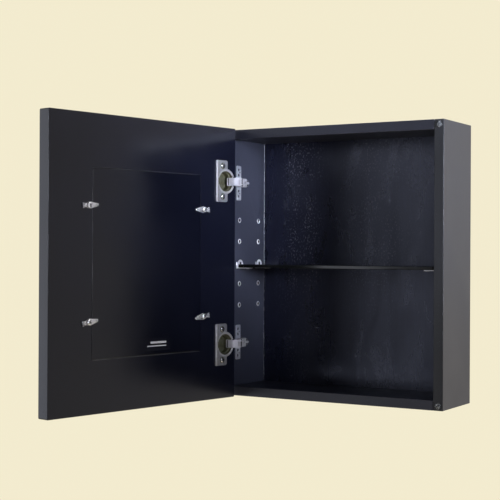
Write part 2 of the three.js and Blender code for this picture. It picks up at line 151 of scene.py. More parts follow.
BACKDROP = (0.896, 0.833, 0.626)
ROOM_FRONT = (0.02, 0.022, 0.028)
ROOM_BACK = (0.84, 0.80, 0.79)
FLOOR_LEVEL = -1400.0
FLOOR_HALF = 2500.0


# -------- matrices


def at(x, y, z):
    return Matrix.Translation((x, y, z))


def spin(degrees, axis="Z"):
    return Matrix.Rotation(math.radians(degrees), 4, axis)


def axes(x, y, z):
    """The turn that sends a piece's x, y and z along the three directions given."""
    return Matrix((x, y, z)).transposed().to_4x4()


# -------- places, from the frame


def node_box(name):
    """Lowest and highest corner of a CAD node at rest, in millimetres."""
    low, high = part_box(name)
    return low / MM, high / MM


def joint(name):
    return next(entry for entry in frame["joints"] if entry["name"] == name)


def node_middle(name):
    return Vector([(low + high) / 2 for low, high in zip(*node_box(name))])


def joint_place(name):
    """A joint's place at rest, in millimetres."""
    return Vector(joint(name)["pos_m"]) / MM


LEFT_LOW, LEFT_HIGH = node_box("side_panel_left")
RIGHT_LOW, RIGHT_HIGH = node_box("side_panel_right")
FRONT = LEFT_LOW.y
MIDDLE = (LEFT_LOW.z + LEFT_HIGH.z) / 2
WIDTH = RIGHT_HIGH.x - LEFT_LOW.x
HEIGHT = LEFT_HIGH.z - LEFT_LOW.z
WALL = RIGHT_LOW.x


def door_frame():
    """The door's own frame: x from its hinged edge, y = 0 its inner face, z = 0 mid height."""
    centre = joint_place("door_swing")
    opening = math.radians(joint("door_swing")["range_deg"][1])
    shut = Vector((LEFT_LOW.x, FRONT - DOOR_GAP, MIDDLE))
    return at(*centre) @ Matrix.Rotation(-opening, 4, "Z") @ at(*(shut - centre))


DOOR = door_frame()
OUT_OF_DOOR = spin(-90, "X")
PIVOT = joint_place("hinge_link_upper_turn")
NOSE_X, NOSE_Y = PIVOT.x + WALL, PIVOT.y - FRONT  # from the side panel's face, the carcass front


# -------- mesh helpers


def linked(name, data):
    """A new object of the given data, in the scene."""
    obj = bpy.data.objects.new(name, data)
    bpy.context.scene.collection.objects.link(obj)
    return obj


def new_object(name, build):
    """An object whose mesh is filled in by build(bmesh)."""
    bm = bmesh.new()
    build(bm)
    bmesh.ops.recalc_face_normals(bm, faces=bm.faces)
    mesh = bpy.data.meshes.new(name)
    bm.to_mesh(mesh)
    bm.free()
    return linked(name, mesh)


def apply_modifiers(obj):
    depsgraph = bpy.context.evaluated_depsgraph_get()
    mesh = bpy.data.meshes.new_from_object(obj.evaluated_get(depsgraph))
    obj.modifiers.clear()
    old = obj.data
    obj.data = mesh
    bpy.data.meshes.remove(old)
    return obj


def rings(loops, closed=False):
    """A closed surface through loops of points, capped at its ends or joined end to end."""

    def build(bm):
        rows = [[bm.verts.new(p) for p in loop] for loop in loops]
        pairs = list(zip(rows, rows[1:]))
        if closed:
            pairs.append((rows[-1], rows[0]))
        for a, b in pairs:
            for i in range(len(a)):
                j = (i + 1) % len(a)
                bm.faces.new((a[i], a[j], b[j], b[i]))
        if not closed:
            bm.faces.new(rows[0])
            bm.faces.new(rows[-1])

    return new_object("rings", build)


def prism(outline, low, high):
    """An outline in XY, from z = low to z = high."""
    return rings([[(x, y, z) for x, y in outline] for z in (low, high)])


def box(low, high):
    (x0, y0, z0), (x1, y1, z1) = low, high
    return prism([(x0, y0), (x1, y0), (x1, y1), (x0, y1)], z0, z1)


def round_loop(radius, z, segments):
    """Points round the Z axis, or the one point on it."""
    if radius == 0:
        return [(0, 0, z)]
    turns = [2 * math.pi * k / segments for k in range(segments)]
    return [(radius * math.cos(t), radius * math.sin(t), z) for t in turns]


def lathe(profile, segments=48):
    """A round piece about Z. The [radius, height] profile starts and ends on the axis."""

    def build(bm):
        rows = [[bm.verts.new(p) for p in round_loop(*entry, segments)] for entry in profile]
        for a, b in zip(rows, rows[1:]):
            for i in range(segments):
                j = (i + 1) % segments
                corners = [a[i % len(a)], a[j % len(a)], b[j % len(b)], b[i % len(b)]]
                bm.faces.new(list(dict.fromkeys(corners)))

    return new_object("lathe", build)


def tube(profile, segments=40):
    """A round piece about Z with a hole through it: the profile closes on itself."""
    return rings([round_loop(*entry, segments) for entry in profile], closed=True)


def fillet(x, y, radius, start, end, steps=5):
    """Points of an arc about (x, y), with its angles in degrees."""
    points = []
    for k in range(steps + 1):
        angle = math.radians(start + (end - start) * k / steps)
        points.append((x + radius * math.cos(angle), y + radius * math.sin(angle)))
    return points


def circle(radius, points=24, x=0, y=0):
    step = 360 / points
    return fillet(x, y, radius, 0, 360 - step, points - 1)


def rounded_rectangle(half_width, half_height, radius, steps=4):
    x, y = half_width - radius, half_height - radius
    points = []
    for sx, sy, start in ((1, 1, 0), (-1, 1, 90), (-1, -1, 180), (1, -1, 270)):
        points += fillet(sx * x, sy * y, radius, start, start + 90, steps)
    return points


def smooth_path(points, radius, steps=5):
    """The path with each inner corner rounded off, starting radius before it."""
    path = [Vector(points[0])]
    for before, corner, after in zip(points, points[1:], points[2:]):
        before, corner, after = Vector(before), Vector(corner), Vector(after)
        reach = min(radius, (corner - before).length / 2, (after - corner).length / 2)
        start = corner + (before - corner).normalized() * reach
        end = corner + (after - corner).normalized() * reach
        for k in range(steps + 1):
            t = k / steps
            path.append(start.lerp(corner, t).lerp(corner.lerp(end, t), t))
    path.append(Vector(points[-1]))
    return path


def ribbon(path, left, right):
    """The outline between two offsets to the left and right of a path."""
    sides = ([], [])
    for i, point in enumerate(path):
        along = path[min(i + 1, len(path) - 1)] - path[max(i - 1, 0)]
        normal = Vector((-along.y, along.x)).normalized()
        sides[0].append(tuple(point + normal * left))
        sides[1].append(tuple(point - normal * right))
    return sides[0] + sides[1][::-1]


def rod(radius, half, chamfer):
    """A chamfered rod about Z, centred on the origin."""
    neck = radius - 0.2
    profile = [(0, -half), (neck, -half), (radius, chamfer - half)]
    profile += [(r, -z) for r, z in reversed(profile)]
    return smooth(lathe(profile, 24))


def moved(obj, matrix):
    obj.data.transform(matrix)
    return obj


def shifted(obj, x=0.0, y=0.0, z=0.0):
    return moved(obj, at(x, y, z))


def turned(obj, degrees, axis):
    return moved(obj, spin(degrees, axis))


def cut(obj, *cutters):
    """Cuts the cutters out of obj and deletes them."""
    for cutter in cutters:
        modifier = obj.modifiers.new("cut", "BOOLEAN")
        modifier.operation = "DIFFERENCE"
        modifier.solver = "EXACT"
        modifier.object = cutter
        apply_modifiers(obj)
        bpy.data.objects.remove(cutter)
    return obj


def join(*objects):
    """One object of several separate shells."""
    first, *others = objects
    bm = bmesh.new()
    for obj in objects:
        offset = len(first.data.materials)
        if obj is not first:
            for material in obj.data.materials:
                first.data.materials.append(material)
            for polygon in obj.data.polygons:
                polygon.material_index += offset
        bm.from_mesh(obj.data)
    bm.to_mesh(first.data)
    bm.free()
    for obj in others:
        bpy.data.objects.remove(obj)
    return first


def shells(material, *objects):
    """One object of several shells, all of one material."""
    return join(*[paint(obj, material) for obj in objects])


def soften(obj, width, segments=3, angle=35):
    """Rounds the sharp edges, and keeps flat faces flat under smooth shading."""
    bevel = obj.modifiers.new("edges", "BEVEL")
    bevel.width = width
    bevel.segments = segments
    bevel.limit_method = "ANGLE"
    bevel.angle_limit = math.radians(angle)
    bevel.use_clamp_overlap = True
    return smooth(apply_modifiers(obj))


def smooth(obj, angle=40):
    for polygon in obj.data.polygons:
        polygon.use_smooth = True
    obj.data.set_sharp_from_angle(angle=math.radians(angle))
    weighted = obj.modifiers.new("normals", "WEIGHTED_NORMAL")
    weighted.keep_sharp = True
    return apply_modifiers(obj)


def paint(obj, material, *others):
    """Sets the materials of a whole object; the first covers every face."""
    obj.data.materials.clear()
    for entry in (material, *others):
        obj.data.materials.append(entry)
    for polygon in obj.data.polygons:
        polygon.material_index = 0
    return obj


def repaint(obj, chosen):
    """Gives the second material to the faces that chosen(face) picks."""
    for polygon in obj.data.polygons:
        if chosen(polygon):
            polygon.material_index = 1
    return obj


def place(obj, name, matrix, body, slot, replaced=()):
    """Names a finished millimetre mesh and puts it in its place, in metres, on its body."""
    obj.name = name
    obj.data.name = name
    if not obj.data.get("in_metres"):
        obj.data.transform(Matrix.Scale(MM, 4))
        obj.data["in_metres"] = True
    location = matrix.to_translation() * MM
    obj.matrix_world = Matrix.Translation(location) @ matrix.to_3x3().to_4x4()
    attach(obj, body)
    if replaced:
        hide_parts(*replaced)
    return obj


def copies(obj, count):
    """The object and count - 1 further objects that share its mesh."""
    return [obj] + [linked(obj.name, obj.data) for _ in range(count - 1)]


# -------- materials


class Nodes:
    """The nodes of a new material or world, with short calls for the ones used here."""

    def __init__(self, name, kind="materials"):
        self.block = getattr(bpy.data, kind).new(name)
        self.block.use_nodes = True
        self.tree = self.block.node_tree
        self.shader = self.tree.nodes.get("Principled BSDF")

    def add(self, kind, inputs=(), **settings):
        node = self.tree.nodes.new(kind)
        for key, value in settings.items():
            setattr(node, key, value)
        for key, value in dict(inputs).items():
            if isinstance(value, bpy.types.NodeSocket):
                self.tree.links.new(value, node.inputs[key])
            else:
                node.inputs[key].default_value = value
        return node

    def set(self, **values):
        """Constant values on the shader's own sockets, spaces written as underscores."""
        for key, value in values.items():
            self.shader.inputs[key.replace("_", " ")].default_value = value

    def link(self, socket, name):
        self.tree.links.new(socket, self.shader.inputs[name])

    def position(self, scale=(1, 1, 1)):
        place = self.add("ShaderNodeTexCoord").outputs["Object"]
        return self.add("ShaderNodeMapping", {0: place, "Scale": scale}).outputs[0]

    def noise(self, vector, scale, detail=4.0, roughness=0.55, distortion=0.0):
        inputs = {"Vector": vector, "Scale": scale, "Detail": detail}
        inputs |= {"Roughness": roughness, "Distortion": distortion}
        return self.add("ShaderNodeTexNoise", inputs).outputs["Fac"]

    def ramp(self, value, low, high, start=0.35, end=0.65):
        """The value stretched from start..end to low..high."""
        inputs = {0: value, 1: start, 2: end, 3: low, 4: high}
        return self.add("ShaderNodeMapRange", inputs).outputs[0]

    def math(self, operation, *values):
        return self.add("ShaderNodeMath", dict(enumerate(values)), operation=operation).outputs[0]

    def colours(self, value, first, second):
        inputs = {0: value, 6: (*first, 1), 7: (*second, 1)}
        return self.add("ShaderNodeMix", inputs, data_type="RGBA").outputs[2]

    def over(self, value, under, colour):
        """The under colour, covered by a plain colour where value is 1."""
        inputs = {0: value, 6: under, 7: (*colour, 1)}
        return self.add("ShaderNodeMix", inputs, data_type="RGBA").outputs[2]

    def mottle(self, value, first, second, roughness, start=0.35, end=0.65):
        """Colour and roughness that follow one value, the colour changing from start to end."""
        self.link(self.colours(self.ramp(value, 0.0, 1.0, start, end), first, second), "Base Color")
        self.link(self.ramp(value, *roughness), "Roughness")

    def bump(self, *layers):
        """Stacks bumps given as (height, strength, distance in metres)."""
        normal = None
        for height, strength, distance in layers:
            inputs = {"Height": height, "Strength": strength, "Distance": distance}
            if normal is not None:
                inputs["Normal"] = normal
            normal = self.add("ShaderNodeBump", inputs).outputs[0]
        self.link(normal, "Normal")


def satin_lacquer(name, colour, roughness, grain=0.0):
    """Sprayed black lacquer: a faint orange peel, a cloudy sheen and fine dust nibs."""
    n = Nodes(name)
    point = n.position()
    cloud = n.noise(point, 9.0, 3.0)
    peel = n.noise(point, 420.0, 2.0, 0.5)
    fine = n.noise(point, 1900.0, 2.0, 0.6)
    nib = n.noise(point, 700.0, 0.0)
    dark = tuple(c * 0.82 for c in colour)
    light = tuple(c * 1.22 for c in colour)
    speck = tuple(min(1.0, c * 3.2 + 0.01) for c in colour)
    base = n.colours(n.ramp(cloud, 0.0, 1.0, 0.3, 0.7), dark, light)
    n.link(n.over(n.ramp(nib, 0.0, 0.5, 0.79, 0.83), base, speck), "Base Color")
    n.link(n.ramp(cloud, roughness - 0.04, roughness + 0.04), "Roughness")
    n.set(Specular_IOR_Level=0.5)
    layers = [(peel, 0.10, 0.00035), (fine, 0.05, 0.0001)]
    if grain:
        along = n.noise(n.position((420, 420, 14)), 1.0, 5.0, 0.65)
        layers.append((along, grain, 0.0003))
    n.bump(*layers)
    return n.block


# Strips of pale open-grain specks on the back panel, painted as highlights where the light's
# reflection falls: middle and reach along x in metres, and weight.
GRAIN_HIGHLIGHT_STRIPS = [(-0.100, 0.045, 1.0), (0.035, 0.060, 0.35)]
GRAIN_HIGHLIGHT_ELSEWHERE = 0.08


def open_grain_highlights(n):
    """Where the back panel's pale specks show, painted highlights of open grain: in strips, fewer
    low down, on its front only.
    """
    patches = n.noise(n.position((34, 34, 14)), 1.0, 3.0)
    speck = n.noise(n.position((460, 460, 300)), 1.0, 1.0)
    axis = n.add("ShaderNodeSeparateXYZ", {0: n.position()}).outputs
    strips = GRAIN_HIGHLIGHT_ELSEWHERE
    for middle, reach, weight in GRAIN_HIGHLIGHT_STRIPS:
        away = n.math("ABSOLUTE", n.math("SUBTRACT", axis["X"], middle))
        strips = n.math("ADD", strips, n.ramp(away, weight, 0.0, 0.3 * reach, reach))
    lower = n.ramp(axis["Z"], 0.3, 1.0, -0.05, 0.02)
    front = n.ramp(axis["Y"], 1.0, 0.0, -0.001, 0.0)
    region = n.math("MULTIPLY", n.math("MULTIPLY", strips, lower), front)
    amount = n.math("MULTIPLY", region, n.ramp(patches, 0.15, 1.0, 0.42, 0.58))
    return n.math("MULTIPLY", n.ramp(speck, 0.0, 1.0, 0.56, 0.68), amount)


def stained_back(name):
    """A black-stained back panel: short upright pores, clouds and strips of pale open grain painted
    as highlights.
    """
    n = Nodes(name)
    pores = n.noise(n.position((1100, 1100, 330)), 1.0, 3.0, 0.6)
    streaks = n.noise(n.position((420, 420, 12)), 1.0, 5.0, 0.65, 0.2)
    clouds = n.noise(n.position((26, 26, 9)), 1.0, 4.0, 0.6, 0.5)
    streaked = n.ramp(streaks, 0.0, 1.0, 0.3, 0.7)
    stain = n.colours(streaked, (0.0078, 0.0086, 0.021), (0.0155, 0.0172, 0.039))
    clouded = n.over(n.ramp(clouds, 0.0, 0.7, 0.5, 0.7), stain, (0.007, 0.0078, 0.020))
    n.link(n.over(open_grain_highlights(n), clouded, (0.24, 0.25, 0.31)), "Base Color")
    n.link(n.ramp(clouds, 0.24, 0.36), "Roughness")
    n.set(Specular_IOR_Level=0.84, Specular_Tint=(0.78, 0.82, 1.0, 1.0))
    n.bump((pores, 0.30, 0.0004), (streaks, 0.10, 0.0002))
    return n.block


def pine(name):
    """Unfinished softwood with its grain along X."""
    n = Nodes(name)
    growth = n.noise(n.position((2.2, 120, 120)), 1.0, 3.0, 0.5, 1.2)
    fibre = n.noise(n.position((40, 1400, 1400)), 1.0, 4.0)
    banded = n.ramp(growth, 0.0, 1.0, 0.4, 0.62)
    wood = n.colours(banded, (0.46, 0.31, 0.17), (0.30, 0.18, 0.085))
    n.link(n.over(n.ramp(fibre, 0.0, 0.35), wood, (0.55, 0.41, 0.26)), "Base Color")
    n.link(n.ramp(fibre, 0.7, 0.85), "Roughness")
    n.bump((fibre, 0.25, 0.0004))
    return n.block


def plated_metal(name, colour, roughness, patch, metallic=1.0):
    """Plate over steel, clouded towards patch times its colour, with fine drawing lines."""
    n = Nodes(name)
    point = n.position()
    cloud = n.noise(point, 160.0, 3.0)
    lines = n.noise(n.position((2600, 300, 300)), 1.0, 3.0, 0.6)
    grit = n.noise(point, 2800.0, 2.0)
    tinted = tuple(c * p for c, p in zip(colour, patch))
    n.link(n.colours(n.ramp(cloud, 0.0, 1.0), colour, tinted), "Base Color")
    drawn = n.ramp(lines, roughness - 0.04, roughness + 0.05)
    n.link(n.math("ADD", n.ramp(cloud, -0.05, 0.06), drawn), "Roughness")
    n.set(Metallic=metallic)
    n.bump((grit, 0.06, 0.00006), (lines, 0.05, 0.00005))
    return n.block


def clouded(name, stretch, noise, first, second, roughness, span=(0.35, 0.65), bump=None, **values):
    """Two colours and two roughnesses, shifting with one stretched noise that may also bump."""
    n = Nodes(name)
    cloud = n.noise(n.position(stretch), *noise)
    n.mottle(cloud, first, second, roughness, *span)
    n.set(**values)
    if bump:
        n.bump((cloud, *bump))
    return n.block


LACQUER = satin_lacquer("satin_lacquer", (0.032, 0.034, 0.051), 0.36)
# Darker, less blue copies of the lacquer for the top panel and the right side: painted shade.
TOP_SHADED_LACQUER = satin_lacquer("top_lacquer_painted_shade", (0.018, 0.019, 0.030), 0.40)
SIDE_SHADED_LACQUER = satin_lacquer("side_lacquer_painted_shade", (0.026, 0.027, 0.032), 0.38)
BOARD_SHADED_LACQUER = {"top_panel": TOP_SHADED_LACQUER, "side_panel_right": SIDE_SHADED_LACQUER}
DOOR_LACQUER = satin_lacquer("door_lacquer", (0.0046, 0.0053, 0.0120), 0.21)
BACKING = satin_lacquer("backing_lacquer", (0.0032, 0.0038, 0.0090), 0.19, 0.05)
LABEL_BLACK = satin_lacquer("label_black", (0.0060, 0.0066, 0.0120), 0.20)
LABEL_INK = satin_lacquer("label_ink", (0.50, 0.50, 0.54), 0.50)
BACK = stained_back("stained_back")
PINE = pine("bare_pine")
NICKEL = plated_metal("nickel_plate", (0.52, 0.51, 0.54), 0.56, (0.90, 0.89, 0.86))
# Olive steel, darkened as painted shade: inside the cups and in dark lines on their flanges.
CUP_STEEL_AND_SHADE = plated_metal("cup_steel_and_painted_shade", (0.17, 0.165, 0.115), 0.50, (0.75, 0.75, 0.66))
# A darker copy of the nickel for the cups' flanges: painted shade.
EAR_SHADED_STEEL = plated_metal("ear_steel_painted_shade", (0.37, 0.365, 0.39), 0.50, (0.88, 0.88, 0.88))
ARM_STEEL = plated_metal("arm_steel", (0.46, 0.45, 0.49), 0.75, (0.92, 0.92, 0.92), 0.8)
LINK_STEEL = plated_metal("link_steel", (0.50, 0.49, 0.54), 0.85, (0.93, 0.92, 0.92), 0.45)
PLATE_STEEL = plated_metal("plate_steel", (0.55, 0.56, 0.62), 0.55, (0.90, 0.90, 0.90), 0.8)
SCREW_STEEL = plated_metal("screw_steel", (0.66, 0.65, 0.70), 0.20, (0.90, 0.90, 0.90))
# A dark metal for painted shade in the screws' cross recesses.
RECESS_SHADE = plated_metal("screw_recess", (0.10, 0.10, 0.11), 0.50, (0.85, 0.85, 0.85), 0.6)
BRIGHT_NICKEL = plated_metal("bright_nickel", (0.92, 0.91, 0.95), 0.27, (0.86, 0.86, 0.86), 0.85)
ZINC = plated_metal("bright_zinc", (0.95, 0.94, 0.98), 0.36, (0.92, 0.92, 0.92), 0.5)
# A near-black metal for painted shade: in the sleeves' bores, on the supports' plates, and in
# strips and rings on the hinges and buttons.
PAINTED_SHADE = plated_metal("sleeve_bore", (0.035, 0.035, 0.042), 0.60, (0.80, 0.80, 0.80), 0.5)
GLASS = clouded(
    "smoked_glass", (30, 60, 30), (1.0, 4.0, 0.6, 0.8),
    (0.006, 0.007, 0.009), (0.010, 0.012, 0.014), (0.035, 0.09),
    Transmission_Weight=0.35, IOR=1.52,
)
GLASS_EDGE = clouded(
    "polished_glass_edge", (18, 18, 500), (1.0, 3.0, 0.6),
    (0.004, 0.0045, 0.005), (0.008, 0.009, 0.010), (0.08, 0.2), bump=(0.05, 0.0001),
)
MIRROR = clouded(
    "silvered_mirror", (14, 14, 14), (1.0, 5.0, 0.6, 0.5),
    (0.88, 0.905, 0.90), (0.90, 0.92, 0.915), (0.012, 0.03), Metallic=1.0,
)
MIRROR_EDGE = clouded(
    "mirror_edge", (1, 1, 1), (900.0, 3.0), (0.20, 0.36, 0.31), (0.30, 0.46, 0.41), (0.2, 0.38)
)
SILICONE = clouded(
    "clear_silicone", (1, 1, 1), (600.0, 2.0), (0.74, 0.78, 0.84), (0.84, 0.87, 0.92), (0.06, 0.14),
    Transmission_Weight=0.87, IOR=1.41,
)
# A paler arris: worn, rubbed through in places, and partly a painted highlight.
WORN_AND_HIGHLIT_EDGE = clouded(
    "worn_and_highlit_edge", (1, 1, 1), (26.0, 5.0, 0.7),
    (0.012, 0.012, 0.017), (0.11, 0.11, 0.12), (0.45, 0.6), (0.44, 0.62),
)
# Pale glue, mostly painted over, showing through in short upright dashes.
GLUE = clouded(
    "corner_glue", (300, 300, 75), (1.0, 3.0, 0.6),
    (0.02, 0.022, 0.035), (0.30, 0.30, 0.34), (0.35, 0.5), (0.49, 0.60), (0.2, 0.0003),
)


# -------- carcass


def sleeve_places(side):
    """Where each shelf sleeve of one side panel sits: (node name, x, y, z)."""
    name = "left" if side < 0 else "right"
    found = []
    for column in ("front", "rear"):
        for row in range(1, SLEEVE_ROWS + 1):
            node = f"shelf_sleeve_{name}_{column}_{row}"
            middle = node_middle(node)
            found.append((node, side * WALL, middle.y, middle.z))
    return found


def back_groove():
    low, high = node_box("back_panel")
    gap = Vector((FIT, FIT, FIT))
    return box(low - gap, high + gap)


def carcass_board(name):
    low, high = node_box(name)
    board = soften(box(low, high), EDGE_ROUND)
    cut(board, back_groove())
    if name.startswith("side"):
        side = -1 if name.endswith("left") else 1
        for _, x, y, z in sleeve_places(side):
            hole = prism(circle(SLEEVE_BARREL + FIT), -1, SLEEVE_DEPTH + FIT)
            cut(board, shifted(turned(hole, 90 * side, "Y"), x, y, z))
    # The top panel and the right side take the darker copies of the lacquer: painted shade.
    paint(smooth(board), BOARD_SHADED_LACQUER.get(name, LACQUER))
    centre = node_middle(name)
    shifted(board, *(-centre))
    place(board, name + "_board", at(*centre), "carcass", "satin_black", [name])


def plain_board(node, name, material, slot, edge):
    low, high = node_box(node)
    centre = node_middle(node)
    board = paint(soften(box(low - centre, high - centre), edge, 2), material)
    place(board, name, at(*centre), "carcass", slot, [node])


def glue_bead():
    """The thin uneven line of glue down the corner of the left side and the back."""
    steps = 60
    half = HEIGHT / 2 - BOARD - 1.5
    face = node_box("back_panel")[0].y
    loops = []
    for k in range(steps + 1):
        z = -half + 2 * half * k / steps
        size = 0.42 + 0.16 * math.sin(1.7 * k) * math.sin(0.6 * k + 1)
        loops.append([(0, 0, z), (size, 0, z), (size * 0.45, -size * 0.45, z), (0, -size, z)])
    bead = paint(smooth(rings(loops), 60), GLUE)
    place(bead, "corner_glue_bead", at(-WALL, face, MIDDLE), "carcass", "black_veneer")


def build_carcass():
    for name in ("side_panel_left", "side_panel_right", "top_panel", "bottom_panel"):
        carcass_board(name)
    plain_board("back_panel", "stained_back_panel", BACK, "black_veneer", 0.3)
    plain_board("hanging_rail", "pine_hanging_rail", PINE, "bare_wood", 0.5)
    glue_bead()


# -------- shelf and its fittings


def build_shelf():
    low, high = node_box("shelf_glass")
    half = (high - low) / 2
    arris = SHELF_ARRIS
    levels = [(arris, -half.z), (0, -half.z + arris), (0, half.z - arris), (arris, half.z)]
    loops = []
    for inset, z in levels:
        ring = rounded_rectangle(half.x - inset, half.y - inset, SHELF_CORNER - inset, 6)
        loops.append([(x, y, z) for x, y in ring])
    shelf = paint(smooth(rings(loops)), GLASS, GLASS_EDGE)
    repaint(shelf, lambda face: abs(face.normal.z) < 0.9)
    middle = node_middle("shelf_glass")
    place(shelf, "glass_shelf", at(*middle), "shelf", "smoked_glass", ["shelf_glass"])


def sleeve_mesh():
    """A pressed-in sleeve about Z: a barrel, a half-round collar and a bore painted dark as shade.
    """
    round_off = (SLEEVE_FLANGE - SLEEVE_BORE) / 2
    brim = SLEEVE_PROUD - round_off
    profile = [(SLEEVE_BORE, -SLEEVE_DEPTH), (SLEEVE_BARREL, -SLEEVE_DEPTH)]
    profile += [(SLEEVE_BARREL, SEAM), (SLEEVE_FLANGE, SEAM)]
    profile += fillet(SLEEVE_FLANGE - round_off, brim, round_off, 0, 175, 9)
    sleeve = paint(smooth(tube(profile, 32)), ZINC, PAINTED_SHADE)

    def in_bore(face):
        return face.center.xy.length < SLEEVE_BORE + 0.05 and face.center.z < brim

    return repaint(sleeve, in_bore)


def build_sleeves():
    places = [(side, *entry) for side in (-1, 1) for entry in sleeve_places(side)]
    for obj, (side, node, x, y, z) in zip(copies(sleeve_mesh(), len(places)), places):
        matrix = at(x, y, z) @ spin(-90 * side, "Y")
        place(obj, node.replace("shelf_sleeve", "sleeve"), matrix, "carcass", "nickel", [node])


def support_plate():
    """The arched plate beside the glass, with a tab that stands up in front of it."""
    reach, thickness, rise = SUPPORT_TAB
    tab = -SUPPORT_RADIUS - reach
    shoulder = SHELF_TOP - SUPPORT_SHOULDER
    arch = fillet(0, -SUPPORT_DROP, SUPPORT_RADIUS, 0, 180, 14)
    outline = [(tab, SUPPORT_LOW), (SUPPORT_RADIUS, SUPPORT_LOW), *arch]
    outline += [(-SUPPORT_RADIUS, shoulder), (tab + thickness, shoulder)]
    outline += [(tab + thickness, SHELF_TOP + rise), (tab, SHELF_TOP + rise)]
    half = SUPPORT_PLATE / 2
    plate = soften(prism(outline, -half, half), 0.45, 3)
    return moved(plate, at(SUPPORT_FACE - half, 0, 0) @ axes(Y, Z, X))


def support_pin():
    """The pin that sits in a sleeve."""
    end = SUPPORT_FACE - 0.4
    profile = [(0, -8), (1.7, -8), (2.2, -7.4), (2.2, end), (0, end)]
    return smooth(turned(lathe(profile, 24), 90, "Y"))


def support_tongue(reach):
    """The bar under the glass, kinked near its end."""
    course = [(SUPPORT_FACE - 1, 0), (reach - 6, 0), (reach - 4.5, -0.5), (reach - 0.7, 0)]
    half = SUPPORT_PLATE / 2
    tongue = soften(prism(ribbon(smooth_path(course, 1.2), half, half), -5, 5), 0.35, 2)
    return shifted(turned(tongue, 90, "X"), z=SUPPORT_LOW + half)


def support_dimple():
    """A thin dark disc on the plate's face: painted shade."""
    dimple = smooth(lathe([(0, 0), (2.3, 0), (2.3, 0.12), (0, 0.12)], 24))
    return shifted(turned(dimple, 90, "Y"), SUPPORT_FACE - 0.06, 0, SUPPORT_DROP - 4.6)


def support_mesh(reach):
    """A shelf support on a wall at x = 0, reaching the given distance into the cabinet."""
    metal = shells(ZINC, support_plate(), support_pin(), support_tongue(reach))
    return join(metal, paint(support_dimple(), PAINTED_SHADE))


def build_supports():
    for side, side_name in ((-1, "left"), (1, "right")):
        for column in ("front", "rear"):
            place_name = f"{side_name}_{column}"
            node = f"shelf_support_{place_name}"
            low, high = node_box(node)
            obj = support_mesh(WALL - min(abs(low.x), abs(high.x)))
            if side > 0:
                moved(obj, Matrix.Scale(-1, 4, X))
                obj.data.flip_normals()
            sleeve = node_middle(f"shelf_sleeve_{place_name}_{SHELF_ROW}")
            matrix = at(side * WALL, sleeve.y, MIDDLE)
            place(obj, f"support_{place_name}", matrix, "carcass", "nickel", [node])


# -------- screws


def screw_mesh(head, head_height, shank, length, metal):
    """A domed cross-recessed screw about Z, the underside of its head at z = 0."""

    def dome(share):
        return head_height * (0.35 + 0.65 * share)

    profile = [(0, -length), (shank * 0.4, -length + 0.8), (shank, -length + 2.5), (shank, 0)]
    profile += [(head - 0.15, 0), (head, 0.15), (head, head_height * 0.35)]
    for k in range(1, 6):
        angle = math.radians(90 * k / 6)
        profile.append((head * math.cos(angle), dome(math.sin(angle))))
    profile.append((0, head_height))
    screw = lathe(profile, 32)
    arm, width, core = head * 0.52, head * 0.15, head * 0.24
    above = head_height + 1
    for turn in (0, 90):
        slot = box((-arm, -width, head_height * 0.25), (arm, width, above))
        cut(screw, turned(slot, turn, "Z"))
    well = box((-core, -core, head_height * 0.12), (core, core, above))
    cut(screw, turned(well, 45, "Z"))

    def in_recess(face):
        reach = face.center.xy.length / head
        surface = dome(math.sqrt(max(0.0, 1 - reach * reach)))
        return reach < 0.53 and 0 < face.center.z < surface - 0.12 * head_height

    # The cross recess takes a dark metal: painted shade.
    return repaint(paint(smooth(screw, 30), metal, RECESS_SHADE), in_recess)


# -------- concealed hinges, fixed half


def mounting_plate():
    """The plate on the side panel's face, x = 0, with a saddle that the arm clips over."""
    half = PLATE_THICKNESS / 2
    wings = prism(rounded_rectangle(*PLATE, 2.0), -half, half)
    for end in (-1, 1):
        slot = rounded_rectangle(6.4, 3.1, 3.0)
        cut(wings, prism([(x + end * PLATE_SCREW_RISE, y) for x, y in slot], -2, 2))
    soften(wings, 0.3, 2)
    moved(wings, at(FIT + half, PLATE_MIDDLE, 0) @ axes(Z, Y, X))
    saddle = soften(box((FIT, 3, -5.2), (7.0, 27, 5.2)), 0.8, 3)
    ribs = []
    for middle in (-8, 8):
        rib = box((1.7, 8.6, middle - 1.2), (2.5, 19.9, middle + 1.2))
        ribs.append(soften(rib, 0.35, 2))
    return paint(join(wings, saddle, *ribs), PLATE_STEEL)


def arm_channel():
    """The arm's main body, slotted for the depth screw."""
    outline = [(ARM_LOW, ARM_TAIL), (ARM_LOW, 0.5), (ARM_HIGH - 0.5, 0.5)]
    outline += [(ARM_HIGH, 4), (ARM_HIGH, ARM_TAIL - 5), (ARM_HIGH - 1.3, ARM_TAIL)]
    channel = prism(outline, -ARM_WIDTH / 2, ARM_WIDTH / 2)
    slot = prism(rounded_rectangle(2.6, 1.9, 1.8), 0, 6)
    behind, _ = ADJUSTERS["depth"]
    cut(channel, moved(slot, at(ARM_HIGH - 1.8, behind, 0) @ axes(DOWN, Y, X)))
    return soften(channel, 0.7, 3)


def arm_fork():
    """The narrower tail, with a round bite on either side of the tongue."""
    top, half = ARM_HIGH - FORK_DROP, 4.6
    outline = [(ARM_LOW, half), (top, half), (top, -half), (ARM_LOW, -half)]
    fork = moved(prism(outline, ARM_TAIL - 1, ARM_TONGUE - 2.5), axes(X, Z, Y))
    for end in (-1, 1):
        bite = turned(prism(circle(1.9), 0, 20), 90, "Y")
        cut(fork, shifted(bite, 0, ARM_TAIL + 2.2, end * 3.3))
    return soften(fork, 0.4, 2)


